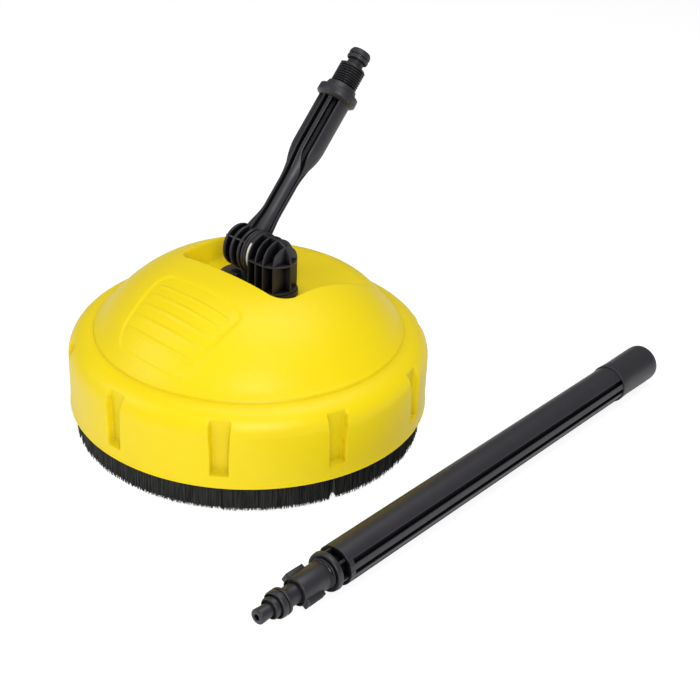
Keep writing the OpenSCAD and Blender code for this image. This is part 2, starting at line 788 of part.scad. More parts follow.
socket_ring_y = socket_y + 11.1;
socket_groove_r = 6.6;
cup_y = tube_end_y + 5.8;
cup_end_y = cup_y + 22.4;
module lance_socket() {
  color(brass)
    difference() {
      union() {
        lance_frame(socket_y) cylinder(r = socket_r, h = cup_y - socket_y + 0.5);
        lance_frame(cup_y) cylinder(r = 11.4, h = cup_end_y - cup_y);
      }
      lance_frame(socket_y - 1) cylinder(r = 3.5, h = 60);
      lance_frame(cup_y + 2.6) cylinder(r = spigot_r + 0.1, h = 30);
      lance_frame(socket_ring_y) ring(9, socket_groove_r, -1.1, 1.1);
    }
}

module socket_o_ring() {
  color(nitrile) lance_frame(socket_ring_y) o_ring(socket_groove_r, socket_r, 0);
}

nut_turns = 9;
nut_bore_r = thread_r - 0.95;
module coupling_nut() {
  nut_len = lance_end_y - tube_end_y - 0.5;
  color(moulded_black)
    lance_frame(tube_end_y + 0.5)
      difference() {
        union() {
          cylinder(r1 = nut_r - 0.8, r2 = nut_r, h = 3);
          translate([0, 0, 3]) cylinder(r = nut_r, h = nut_len - 5);
          translate([0, 0, nut_len - 2]) cylinder(r1 = nut_r, r2 = nut_r - 1.2, h = 2);
        }
        translate([0, 0, -1]) cylinder(r = 8.3, h = 10);
        translate([0, 0, 5]) cylinder(r = 11.7, h = cup_end_y - tube_end_y - 4.5);
        translate([0, 0, 15]) cylinder(r = nut_bore_r, h = 60);
        translate([0, 0, nut_len - 3 - nut_turns * thread_pitch]) for (i = [0 : nut_turns - 1])
          translate([0, 0, i * thread_pitch]) rotate_extrude()
            polygon([
              [nut_bore_r - 0.5, -0.35 * thread_pitch], [nut_bore_r, -0.35 * thread_pitch],
              [thread_r + 0.2, 0], [nut_bore_r, 0.35 * thread_pitch], [nut_bore_r - 0.5, 0.35 * thread_pitch]
            ]);
        translate([0, 0, nut_len - 3]) cylinder(r = thread_r + 0.3, h = 10);
      }
}

dome_housing();
brush_carrier();
brush_ring();
carrier_screws_set();
pivot_upright();
upright_screws();
stem_o_ring();
hub_body();
upper_bearing();
lower_bearing();
bearing_spacer();
shaft_seal();
retaining_ring();
rotor_shaft();
rotor_arm();
rotor_nut();
nozzle_a();
nozzle_b();
inlet_arm();
hinge_pin();
hinge_washer();
hinge_o_rings();
hinge_clip();
hinge_cap();
spigot_o_ring();
inlet_strainer();
lance_tube();
lance_pipe();
lance_plug();
plug_o_rings();
lance_socket();
socket_o_ring();
coupling_nut();
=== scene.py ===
# %% [markdown]
# # A patio surface cleaner and its lance
# A surface cleaner is a yellow moulded dome that hovers over paving on a skirt of bristles while a
# spray bar spins under it. A black arm tilts on its top and takes the water, and a loose lance
# makes it longer. The mechanics come from the CAD model, which is loaded first and is never
# changed. Each visible moulding is then made again with softer edges, finer ribs and real
# bristles, exactly where the CAD model has it.

import json
import math

import bmesh
import bpy
from mathutils import Matrix, Vector, noise


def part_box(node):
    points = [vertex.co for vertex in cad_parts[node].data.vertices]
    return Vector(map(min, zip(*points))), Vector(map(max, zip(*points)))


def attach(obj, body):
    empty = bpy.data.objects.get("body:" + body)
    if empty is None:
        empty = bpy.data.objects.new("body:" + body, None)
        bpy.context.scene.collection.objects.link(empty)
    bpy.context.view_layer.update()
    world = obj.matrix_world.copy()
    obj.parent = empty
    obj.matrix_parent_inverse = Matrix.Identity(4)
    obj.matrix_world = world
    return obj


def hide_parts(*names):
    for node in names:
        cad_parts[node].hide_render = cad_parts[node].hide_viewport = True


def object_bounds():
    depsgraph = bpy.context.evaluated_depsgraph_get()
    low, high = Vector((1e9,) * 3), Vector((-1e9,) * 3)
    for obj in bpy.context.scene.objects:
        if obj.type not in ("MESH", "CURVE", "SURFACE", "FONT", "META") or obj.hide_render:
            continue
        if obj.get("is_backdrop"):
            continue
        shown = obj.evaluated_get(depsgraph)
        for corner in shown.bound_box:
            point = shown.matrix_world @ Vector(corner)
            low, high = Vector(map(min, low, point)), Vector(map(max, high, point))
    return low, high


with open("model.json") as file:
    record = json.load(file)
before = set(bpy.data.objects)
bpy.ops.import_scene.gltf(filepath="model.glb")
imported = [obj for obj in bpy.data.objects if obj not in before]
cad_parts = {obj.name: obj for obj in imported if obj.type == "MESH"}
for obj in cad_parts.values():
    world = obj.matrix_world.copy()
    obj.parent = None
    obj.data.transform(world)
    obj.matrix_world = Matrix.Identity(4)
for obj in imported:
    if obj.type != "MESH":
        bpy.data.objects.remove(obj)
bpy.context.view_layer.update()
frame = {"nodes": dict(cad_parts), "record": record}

# %% [markdown]
# ## Camera, floor and light
# The product stands in a light tent: a large soft light overhead, a weaker one from the left, the
# strongest from the front and right, and a floor so bright that shadows wash out. A long lens keeps
# the round dome round. The view transform is set to Standard, because the film-like default turns
# a strong yellow grey.

# %% Camera
scene = bpy.context.scene
scene.view_settings.view_transform = "Standard"
CAMERA_PLACE = Vector((0.6795, -0.6871, 0.5936))
LOOK = Vector((-0.5627, 0.6706, -0.4835)).normalized()
CAMERA_ROLL = math.radians(2.69)
LENS_MM = 72.0

level_right = LOOK.cross(Vector((0, 0, 1))).normalized()
level_up = level_right.cross(LOOK)
turned_right = level_right * math.cos(CAMERA_ROLL) + level_up * math.sin(CAMERA_ROLL)
turned_up = turned_right.cross(LOOK)
camera_data = bpy.data.cameras.new("camera")
camera_data.lens = LENS_MM
camera_data.sensor_width = 36.0
camera_data.clip_start = 0.02
camera = bpy.data.objects.new("camera", camera_data)
axes = Matrix((turned_right, turned_up, -LOOK)).transposed().to_4x4()
camera.matrix_world = Matrix.Translation(CAMERA_PLACE) @ axes
scene.collection.objects.link(camera)
scene.camera = camera
print("camera looks down", round(math.degrees(math.asin(-LOOK.z)), 1), "degrees")

# %% A helper that adds one node
def add_node(tree, kind, inputs=None, **settings):
    """Adds a node, sets its settings, and links or sets each named input."""
    made = tree.nodes.new("ShaderNode" + kind)
    for name, value in settings.items():
        setattr(made, name, value)
    for socket, value in (inputs or {}).items():
        if isinstance(value, bpy.types.NodeSocket):
            tree.links.new(value, made.inputs[socket])
        else:
            made.inputs[socket].default_value = value
    return made


def linear(hex_colour, alpha=1.0):
    """An sRGB colour such as F3DC23 as the linear values that shaders use."""
    parts = [int(hex_colour[i : i + 2], 16) / 255 for i in (0, 2, 4)]
    curve = [p / 12.92 if p <= 0.04045 else ((p + 0.055) / 1.055) ** 2.4 for p in parts]
    return (*curve, alpha)


def new_material(name):
    """An empty node material with its output, ready for a shader."""
    made = bpy.data.materials.new(name)
    made.use_nodes = True
    made.node_tree.nodes.clear()
    return made, made.node_tree


# %% Floor and lights
FLOOR_SIZE = 6.0
# The camera sees the paper burnt out to white, but the object gets only the paper's own bounce
paper, tree = new_material("white_paper_sweep")
seen = add_node(tree, "LightPath").outputs["Is Camera Ray"]
burnt_out = add_node(tree, "MapRange", {"Value": seen, "To Min": 0.2, "To Max": 0.8})
tone = add_node(tree, "Mix", {"Factor": seen}, data_type="RGBA")
tone.inputs["A"].default_value = linear("F0F0F0")
tone.inputs["B"].default_value = linear("A8A8A8")
shader = add_node(
    tree,
    "BsdfPrincipled",
    {
        "Base Color": tone.outputs["Result"],
        "Roughness": 0.9,
        "Emission Color": linear("FFFFFF"),
        "Emission Strength": burnt_out.outputs["Result"],
    },
)
add_node(tree, "OutputMaterial", {"Surface": shader.outputs["BSDF"]})

floor_bm = bmesh.new()
bmesh.ops.create_grid(floor_bm, x_segments=1, y_segments=1, size=FLOOR_SIZE / 2)
floor_mesh = bpy.data.meshes.new("floor")
floor_bm.to_mesh(floor_mesh)
floor_bm.free()
floor_mesh.materials.append(paper)
floor = bpy.data.objects.new("floor", floor_mesh)
floor.location.z = -0.0004
scene.collection.objects.link(floor)
floor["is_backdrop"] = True

world = bpy.data.worlds.new("tent")
scene.world = world
world.use_nodes = True
world.node_tree.nodes["Background"].inputs["Color"].default_value = linear("FFFFFF")
world.node_tree.nodes["Background"].inputs["Strength"].default_value = 0.22


def soft_light(name, place, target, size, power):
    """A square area light that faces a point."""
    data = bpy.data.lights.new(name, "AREA")
    data.shape = "SQUARE"
    data.size = size
    data.energy = power
    made = bpy.data.objects.new(name, data)
    made.location = place
    made.rotation_euler = (Vector(target) - Vector(place)).to_track_quat("-Z", "Y").to_euler()
    scene.collection.objects.link(made)


soft_light("top_box", (0.15, 0.25, 1.5), (0.05, 0, 0.1), 1.1, 9.5)
soft_light("left_box", (-0.9, -1.1, 1.0), (0, 0, 0.08), 0.8, 6.0)
soft_light("front_box", (1.25, -1.05, 1.1), (0.05, 0, 0.08), 0.8, 18.0)

# %% [markdown]
# ## Finishes
# Nearly everything is injection-moulded plastic. Its mould was spark-eroded, which leaves a fine
# even grain, so the gloss is broken up at well under a millimetre and drifts a little over a few
# centimetres where the plastic flowed and cooled. One function builds all the mouldings from the
# grain, the drift and a painted shade that darkens colour and gloss inside pockets, and a second
# builds turned metal, where the tool left fine rings.

# %% Moulded plastic and rubber
# how far the ambient-occlusion reading looks for nearby surfaces when it paints shade into pockets
PAINTED_SHADE_REACH = 0.012
PLASTIC_IOR = 1.49


# pocket sets how strongly shade is painted into pockets; 0 paints none
def moulded(
    name, base, drift, roughness, spread, grain_mm, grain_depth_mm, specular=0.5, pocket=0.0, soft=0.0
):
    """A moulded surface: two close colours, painted shade in pockets, a gloss that varies and a fine grain.
    """
    made, tree = new_material(name)
    place = add_node(tree, "TexCoord").outputs["Object"]
    flow = add_node(tree, "TexNoise", {"Vector": place, "Scale": 28.0, "Detail": 3.0, "Roughness": 0.55})
    grain = add_node(tree, "TexNoise", {"Vector": place, "Scale": 1000.0 / grain_mm, "Detail": 2.0})
    scuff = add_node(tree, "TexNoise", {"Vector": place, "Scale": 140.0, "Detail": 5.0, "Roughness": 0.65})
    colour = add_node(tree, "Mix", {"Factor": flow.outputs["Fac"]}, data_type="RGBA")
    colour.inputs["A"].default_value = linear(base)
    colour.inputs["B"].default_value = linear(drift)
    # painted shade: an ambient-occlusion reading darkens both the colour and the specular level in narrow
    # pockets, where less light falls
    openness = add_node(tree, "AmbientOcclusion", {"Distance": PAINTED_SHADE_REACH}, samples=4)
    depth = add_node(
        tree,
        "MapRange",
        {
            "Value": openness.outputs["AO"],
            "From Min": 0.45,
            "From Max": 0.9,
            "To Min": 1 - pocket,
            "To Max": 1.0,
        },
    ).outputs["Result"]
    shaded = add_node(tree, "Mix", {"Factor": 1.0}, data_type="RGBA", blend_type="MULTIPLY")
    tree.links.new(colour.outputs["Result"], shaded.inputs["A"])
    tree.links.new(depth, shaded.inputs["B"])
    # the same painted shade also lowers the specular level in pockets
    shine = add_node(tree, "Math", {0: depth, 1: specular}, operation="MULTIPLY")
    gloss = add_node(
        tree,
        "MapRange",
        {"Value": scuff.outputs["Fac"], "To Min": roughness - spread, "To Max": roughness + spread},
    )
    bump = add_node(
        tree,
        "Bump",
        {"Height": grain.outputs["Fac"], "Distance": grain_depth_mm / 1000, "Strength": 0.6},
    )
    shader = add_node(
        tree,
        "BsdfPrincipled",
        {
            "Base Color": shaded.outputs["Result"],
            "Roughness": gloss.outputs["Result"],
            "Normal": bump.outputs["Normal"],
            "IOR": PLASTIC_IOR,
            "Specular IOR Level": shine.outputs["Value"],
            "Subsurface Weight": soft,
            "Subsurface Scale": 0.003,
        },
    )
    add_node(tree, "OutputMaterial", {"Surface": shader.outputs["BSDF"]})
    return made


# Polypropylene with a strong yellow masterbatch: satin, warm in its shadows, with a light painted shade in
# its pockets
yellow_polypropylene = moulded(
    "polypropylene_moulded_yellow",
    "FBE10A",
    "F7DA06",
    0.4,
    0.05,
    0.7,
    0.03,
    specular=0.33,
    pocket=0.4,
    soft=0.04,
)
# Glass-filled nylon: a cool near-black whose rib edges catch a thin grey line, with a deep painted shade in
# its pockets
black_nylon = moulded("glass_filled_nylon_black", "302E34", "28262B", 0.4, 0.07, 0.5, 0.04, pocket=0.9)
# Unfilled nylon, cream white and a little waxy
white_nylon = moulded("nylon_natural", "ECEAE0", "E2DFD2", 0.4, 0.05, 0.6, 0.02, soft=0.1)
# Nitrile rubber, wiped with grease when it was fitted, so it shines
greased_nitrile = moulded("nitrile_rubber_greased", "121213", "1A1A1A", 0.22, 0.06, 0.8, 0.03, specular=0.6)
print("plastics made")

# %% Turned metal
def turned(name, base, drift, roughness, spread, ring_mm):
    """Lathe-turned metal: fine rings in the gloss, and a slight haze from handling."""
    made, tree = new_material(name)
    place = add_node(tree, "TexCoord").outputs["Object"]
    rings = add_node(
        tree,
        "TexWave",
        {"Vector": place, "Scale": 1000.0 / ring_mm / (2 * math.pi), "Distortion": 1.5, "Detail": 2.0},
        bands_direction="Z",
    )
    haze = add_node(tree, "TexNoise", {"Vector": place, "Scale": 90.0, "Detail": 4.0})
    colour = add_node(tree, "Mix", {"Factor": haze.outputs["Fac"]}, data_type="RGBA")
    colour.inputs["A"].default_value = linear(base)
    colour.inputs["B"].default_value = linear(drift)
    gloss = add_node(
        tree,
        "MapRange",
        {"Value": haze.outputs["Fac"], "To Min": roughness - spread, "To Max": roughness + spread},
    )
    bump = add_node(tree, "Bump", {"Height": rings.outputs["Fac"], "Distance": 0.00001, "Strength": 0.5})
    shader = add_node(
        tree,
        "BsdfPrincipled",
        {
            "Base Color": colour.outputs["Result"],
            "Roughness": gloss.outputs["Result"],
            "Normal": bump.outputs["Normal"],
            "Metallic": 1.0,
        },
    )
    add_node(tree, "OutputMaterial", {"Surface": shader.outputs["BSDF"]})
    return made


# Stainless steel: neutral grey, polished by the lathe
stainless_steel = turned("stainless_steel_turned", "C6C8CA", "B4B7BA", 0.28, 0.06, 0.5)
# Brass bar: warm, and dulled a little by water
yellow_brass = turned("brass_turned", "C9A65A", "B8934A", 0.32, 0.07, 0.5)
print("metals made")

# %% [markdown]
# The bristles are crimped polypropylene filaments in black. Looked at as a mass they show fine
# upright streaks, some filaments greyer than others, so the colour noise is squeezed sideways and
# drawn out along the height.

# %% Bristle filament
def filament(name, dark, light, streak_mm):
    """Upright streaks: a noise that is fine across the filaments and long down them."""
    made, tree = new_material(name)
    place = add_node(tree, "TexCoord").outputs["Object"]
    squeezed = add_node(tree, "Mapping", {"Vector": place, "Scale": (1.0, 1.0, 0.04)})
    streaks = add_node(
        tree,
        "TexNoise",
        {"Vector": squeezed.outputs["Vector"], "Scale": 1000.0 / streak_mm, "Detail": 2.0, "Roughness": 0.7},
    )
    contrast = add_node(
        tree, "MapRange", {"Value": streaks.outputs["Fac"], "From Min": 0.38, "From Max": 0.66}
    )
    colour = add_node(tree, "Mix", {"Factor": contrast.outputs["Result"]}, data_type="RGBA")
    colour.inputs["A"].default_value = linear(dark)
    colour.inputs["B"].default_value = linear(light)
    shader = add_node(
        tree,
        "BsdfPrincipled",
        {
            "Base Color": colour.outputs["Result"],
            "Roughness": 0.5,
            "Specular IOR Level": 0.3,
            "IOR": PLASTIC_IOR,
        },
    )
    add_node(tree, "OutputMaterial", {"Surface": shader.outputs["BSDF"]})
    return made


bristle_black = filament("polypropylene_filament_black", "0E0F0E", "3A3B3A", 1.3)

# %% [markdown]
# ## Tools for making a moulding
# A moulding is built from a few kinds of shape: an outline turned about an axis, an outline given
# a thickness, and their edges rounded, because nothing comes sharp out of a mould. Each helper
# makes one closed shape in a bmesh of its own, in millimetres, and puts it in place. `piece` then
# joins the shapes into one object, shades them smooth except across real corners, and says which
# CAD body the object moves with.

# %% Outlines with rounded corners
MM = 0.001


def rounded(corners, segments=4):
    """Turns corners given as (x, y, radius) into an outline whose corners are arcs."""
    outline = []
    for i, (x, y, radius) in enumerate(corners):
        here = Vector((x, y))
        if radius <= 0:
            outline.append((x, y))
            continue
        back = (Vector(corners[i - 1][:2]) - here).normalized()
        onward = (Vector(corners[(i + 1) % len(corners)][:2]) - here).normalized()
        half = back.angle(onward) / 2
        reach = radius / math.tan(half)
        centre = here + (back + onward).normalized() * (radius / math.sin(half))
        first = here + back * reach - centre
        last = here + onward * reach - centre
        for step in range(segments + 1):
            outline.append(tuple(centre + first.slerp(last, step / segments)))
    return outline


def arc(x, y, radius, start, end, segments):
    """Points along an arc about a centre, between two angles in degrees."""
    angles = [math.radians(start + (end - start) * i / segments) for i in range(segments + 1)]
    return [(x + radius * math.cos(a), y + radius * math.sin(a)) for a in angles]


# %% Turned shapes and plates
def lathe(outline, steps, place=Matrix(), closed=True):
    """Turns a (radius, height) outline about Z and puts it in place."""
    bm = bmesh.new()
    verts = [bm.verts.new((radius * MM, 0, height * MM)) for radius, height in outline]
    ends = verts[1:] + verts[:1] if closed else verts[1:]
    edges = [bm.edges.new(pair) for pair in zip(verts, ends)]
    bmesh.ops.spin(
        bm,
        geom=verts + edges,
        cent=(0, 0, 0),
        axis=(0, 0, 1),
        dvec=(0, 0, 0),
        angle=2 * math.pi,
        steps=steps,
        use_merge=True,
    )
    bmesh.ops.remove_doubles(bm, verts=bm.verts, dist=0.002 * MM)
    bmesh.ops.recalc_face_normals(bm, faces=bm.faces)
    bm.transform(place)
    return bm


def plate(outline, thickness, edge, place=Matrix()):
    """Gives a flat outline a thickness, centred on its plane, with its rims rounded."""
    bm = bmesh.new()
    verts = [bm.verts.new((x * MM, y * MM, -thickness * MM / 2)) for x, y in outline]
    face = bm.faces.new(verts)
    grown = bmesh.ops.extrude_face_region(bm, geom=[face])["geom"]
    lifted = [v for v in grown if isinstance(v, bmesh.types.BMVert)]
    bmesh.ops.translate(bm, verts=lifted, vec=(0, 0, thickness * MM))
    bmesh.ops.recalc_face_normals(bm, faces=bm.faces)
    rims = [e for e in bm.edges if e.calc_face_angle(0) > math.radians(50)]
    bmesh.ops.bevel(
        bm,
        geom=rims,
        offset=edge * MM,
        affect="EDGES",
        segments=2,
        profile=0.5,
        material=-1,
        clamp_overlap=True,
    )
    bm.transform(place)
    return bm


# %% Joining shapes into a piece
def piece(name, shapes, finish, body, stands_for=(), corner=38):
    """Joins shapes into one object that rides on a body and stands for CAD nodes."""
    whole = bmesh.new()
    for shape in shapes:
        part = bpy.data.meshes.new("part")
        shape.to_mesh(part)
        shape.free()
        whole.from_mesh(part)
        bpy.data.meshes.remove(part)
    for face in whole.faces:
        face.smooth = True
    for edge in whole.edges:
        edge.smooth = edge.calc_face_angle(0) < math.radians(corner)
    mesh = bpy.data.meshes.new(name)
    whole.to_mesh(mesh)
    whole.free()
    mesh.materials.append(finish)
    made = bpy.data.objects.new(name, mesh)
    scene.collection.objects.link(made)
    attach(made, body)
    if stands_for:
        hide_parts(*stands_for)
    triangles = sum(len(p.vertices) - 2 for p in mesh.polygons)
    print(f"{name}: {triangles} triangles")
    return made


def ramp(low, high, value):
    """A smooth step from 0 at low to 1 at high."""
    t = min(1.0, max(0.0, (value - low) / (high - low)))
    return t * t * (3 - 2 * t)


def soft_min(a, b, blend):
    """The lower of two heights, with the corner between them rounded over a blend."""
    h = max(blend - abs(a - b), 0.0) / blend
    return min(a, b) - h * h * blend / 4


# %% [markdown]
# ## The yellow housing
# The housing is one moulding about 2.6 mm thick: a rounded skirt with ten notches, a dome, a
# shallow ribbed thumb pad at the front, and a deep recess for the pivot that is open to the back.
# Its plain form is turned, so it is spun from an outline, with rows close together where detail
# comes. The notches, the pad and the recess are then pressed into it by moving vertices, like
# sculpting to a rule. The rule gives soft corners everywhere, as the mould does, which cutting
# with sharp solids would not.

# %% The dome's outline
skirt_r = 1000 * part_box("dome_housing")[1].x
rim_z = 1000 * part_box("dome_housing")[0].z
WALL = 2.6
SHOULDER_R = 19.5
SHOULDER_Z = 61.5
DOME_TOP_Z = 134.0
DOME_DROP = 52.2
DOME_EDGE_R = 118.6
DOME_POWER = 3.24
DOME_FILLET = 8.0
shoulder_centre_r = skirt_r - SHOULDER_R
shoulder_top_z = SHOULDER_Z + SHOULDER_R


def dome_height(radius):
    """Height of the dome, blended into the flat top of the shoulder by a small fillet."""
    dome = DOME_TOP_Z - DOME_DROP * (radius / DOME_EDGE_R) ** DOME_POWER
    return -soft_min(-dome, -shoulder_top_z, DOME_FILLET)


def spread(low, high, step):
    """Evenly spaced values from low up to high, not counting high."""
    count = max(1, round((high - low) / step))
    return [low + (high - low) * i / count for i in range(count)]


# Rows are closer where the recess's walls and the pad's ribs are pressed in
row_radii = spread(0, 20, 4) + spread(20, 64, 0.6) + spread(64, 108, 0.8) + spread(108, 120.5, 0.7)
outer_outline = [(r, dome_height(r)) for r in row_radii]
outer_outline += arc(shoulder_centre_r, SHOULDER_Z, SHOULDER_R, 90, 0, 26)
skirt_rows = (56, 50, 44, 39, 35.5, 34.2, 33.4, 32.6, 31.8, 31.0, 30.2, 29.2, 27, 25, 23.6)
outer_outline += [(skirt_r, z) for z in skirt_rows]
outer_outline += arc(skirt_r - 0.3, rim_z + 1.0, 0.9, 30, -90, 5)
print("rows in the housing's outer outline:", len(outer_outline))

# %% The rule that presses the notches, the pad and the recess in
NOTCHES = 10
NOTCH_FLOOR_R = skirt_r - 5.2
NOTCH_FLOOR_HALF_W, NOTCH_EDGE_HALF_W = 5.5, 7.1
NOTCH_WIDENING = 1.4
NOTCH_WIDENS_Z = (45, 76)
NOTCH_FOOT_Z = (30.8, 33.0)
PAD_X = 3.8
PAD_BACK_Y, PAD_FRONT_Y = -50.5, -111.0
PAD_FRONT_BOW = 5.0
PAD_BACK_W, PAD_FRONT_W = 44.5, 39.0
PAD_CORNER = 12.0
PAD_DEPTH = 1.1
PAD_RIB_Y, PAD_RIB_STEP, PAD_RIBS = -63.6, 9.0, 5
PAD_RIB_HALF = 37.3
PAD_RIB_HEIGHT = 0.95
RECESS_FLOOR_Z = 111.0
RECESS_FRONT_Y = -24.0
RECESS_HALF_W = 57.0
RECESS_CORNER = 15.0
RECESS_FLARE = 0.12
RECESS_WALL_SLOPE = 6.0
RECESS_LIP_DROP = 1.5
RECESS_FILLET = 7.0


def inside_recess(x, y):
    """How far a point in plan lies inside the recess's lip; negative outside it."""
    corner_x, corner_y = RECESS_HALF_W - RECESS_CORNER, RECESS_FRONT_Y + RECESS_CORNER
    side = RECESS_HALF_W + RECESS_FLARE * max(0.0, y - corner_y - 20) - abs(x)
    if y < corner_y and abs(x) > corner_x:
        return RECESS_CORNER - math.hypot(abs(x) - corner_x, y - corner_y)
    return min(side, y - RECESS_FRONT_Y)


def inside_pad(x, y):
    """How far a point in plan lies inside the thumb pad's edge."""
    along = (PAD_BACK_Y - y) / (PAD_BACK_Y - PAD_FRONT_Y)
    half_w = PAD_BACK_W + (PAD_FRONT_W - PAD_BACK_W) * min(1.0, max(0.0, along))
    dx = abs(x - PAD_X) - (half_w - PAD_CORNER)
    front_y = PAD_FRONT_Y + PAD_FRONT_BOW * ((x - PAD_X) / PAD_FRONT_W) ** 2
    dy = max(y - (PAD_BACK_Y - PAD_CORNER), front_y + PAD_CORNER - y)
    outside = math.hypot(max(dx, 0.0), max(dy, 0.0)) + min(max(dx, dy), 0.0)
    return PAD_CORNER - outside


def pad_press(x, y):
    """Depth of the pad's tray at a point, less the height of its ribs."""
    inside = inside_pad(x, y)
    if inside <= -2:
        return 0.0
    depth = PAD_DEPTH * ramp(-0.6, 1.8, inside)
    # the ribs bow a little towards the front, the front ones most
    for i in range(PAD_RIBS):
        half_length = PAD_RIB_HALF - 0.3 * i
        bow = (1.2 + 0.5 * i) * ((x - PAD_X) / half_length) ** 2
        off = abs(y - (PAD_RIB_Y - i * PAD_RIB_STEP + bow))
        ends = ramp(half_length + 0.5, half_length - 2.0, abs(x - PAD_X))
        depth -= PAD_RIB_HEIGHT * ends * ramp(1.6, 0.2, off)
    return depth


def press(x, y, z, inset):
    """Moves one point of the turned housing to its place on the moulding."""
    radius = math.hypot(x, y)
    if radius > shoulder_centre_r + 1:
        turn = math.atan2(y, x) + math.pi / 2
        period = 2 * math.pi / NOTCHES
        across = abs((turn + period / 2) % period - period / 2) * (radius + inset)
        # a notch is wider towards its top
        side = NOTCH_WIDENING * ramp(*NOTCH_WIDENS_Z, z) + inset
        weight = ramp(NOTCH_EDGE_HALF_W + side, NOTCH_FLOOR_HALF_W + side, across)
        weight *= ramp(NOTCH_FOOT_Z[0] - inset, NOTCH_FOOT_Z[1] - inset, z)
        pressed = radius - weight * max(0.0, radius - (NOTCH_FLOOR_R - inset))
        return x * pressed / radius, y * pressed / radius, z
    depth = inside_recess(x, y) + inset
    wall_z = DOME_TOP_Z - RECESS_LIP_DROP - RECESS_WALL_SLOPE * depth
    floor_z = RECESS_FLOOR_Z - inset
    carved = -soft_min(-wall_z, -floor_z, RECESS_FILLET)
    z = soft_min(z, carved, RECESS_FILLET)
    if inset == 0:
        z -= pad_press(x, y)
    return x, y, z


# %% Spin the housing, gather columns at the notches and press the details in
COLUMNS = 480
per_notch = COLUMNS // NOTCHES
# A column's place between two notches: crowded over the notch's side walls
COLUMN_STOPS = [(0, 0.0), (3, 1.9), (12, 3.9), (per_notch / 2, 180 / NOTCHES)]


def gathered(turn):
    """Shifts an evenly spaced turn towards the nearest notch's side walls."""
    period = 2 * math.pi / NOTCHES
    local = (turn + period / 2) % period - period / 2
    index = abs(local) / (2 * math.pi / COLUMNS)
    for (i0, a0), (i1, a1) in zip(COLUMN_STOPS, COLUMN_STOPS[1:]):
        if index <= i1 + 1e-6:
            angle = math.radians(a0 + (a1 - a0) * (index - i0) / (i1 - i0))
            return turn - local + math.copysign(angle, local)
    return turn


outer = lathe(outer_outline, COLUMNS, closed=False)
for vert in outer.verts:
    x, y, z = (1000 * c for c in vert.co)
    radius = math.hypot(x, y)
    if radius > 1:
        turn = math.atan2(y, x) + math.pi / 2
        turn += (gathered(turn) - turn) * ramp(118.5, 121.5, radius) - math.pi / 2
        x, y = radius * math.cos(turn), radius * math.sin(turn)
    vert.co = Vector(press(x, y, z, 0.0)) * MM

# The inside needs fewer rows and columns than the outside
INNER_COLUMNS = 240
inner_radii = spread(0, 24, 8) + spread(24, 66, 2.5) + spread(66, 117, 5)


def wall_drop(radius):
    """The wall's thickness measured straight down, which grows where the dome is steep."""
    steepness = DOME_DROP * DOME_POWER / DOME_EDGE_R * (radius / DOME_EDGE_R) ** (DOME_POWER - 1)
    return WALL * math.hypot(1, steepness)


inner_outline = [(r, dome_height(r) - wall_drop(r)) for r in inner_radii]
inner_outline += arc(shoulder_centre_r, SHOULDER_Z, SHOULDER_R - WALL, 90, 0, 8)
inner_outline += [(skirt_r - WALL, z) for z in (48, 36, 32, 30, 28, 26, 24, rim_z + 0.1)]
inner = lathe(inner_outline, INNER_COLUMNS, closed=False)
for vert in inner.verts:
    x, y, z = (1000 * c for c in vert.co)
    vert.co = Vector(press(x, y, z, WALL)) * MM

part = bpy.data.meshes.new("part")
inner.to_mesh(part)
inner.free()
outer.from_mesh(part)
bpy.data.meshes.remove(part)
# Known fault: this should join the two rims by a narrow ring, but the housing comes out with flat
# faces at its rim that close the whole underside, and with its inner wall facing the wrong way
open_rims = [e for e in outer.edges if e.is_boundary]
bmesh.ops.bridge_loops(outer, edges=open_rims)
bmesh.ops.recalc_face_normals(outer, faces=outer.faces)
print("open edges left in the housing:", sum(e.is_boundary for e in outer.edges))

# %% The screw bosses and webs inside the skirt
boss_r = 124.0
bosses = []
for i in range(NOTCHES):
    turn = Matrix.Rotation(math.radians((i + 0.5) * 360 / NOTCHES - 90), 4, "Z")
    at_boss = turn @ Matrix.Translation((boss_r * MM, 0, 0))
    bosses.append(lathe([(1.5, 28.1), (4, 28.1), (4, 75), (1.5, 75)], 20, at_boss))
    web_low, web_high = (boss_r + 3, 29), (skirt_r - WALL + 0.4, 58)
    web = [web_low, (web_high[0], web_low[1]), web_high, (web_low[0], web_high[1] + 4)]
    bosses.append(plate(web, 2.0, 0.2, turn @ Matrix.Rotation(math.pi / 2, 4, "X")))
replaces = ["dome_housing"]
piece("housing_shell", [outer] + bosses, yellow_polypropylene, "head", replaces, corner=50)

# %% [markdown]
# ## The bristles
# Ten brush strips make a full ring of filaments. One radial comb of filaments is turned right
# round in 900 steps with copies left behind. Every filament is then bent and shortened a little
# by a cell noise, which gives the same value for the same filament on every run. At every third
# joint the strips have parted: the tips lean away from it and a small gap opens.

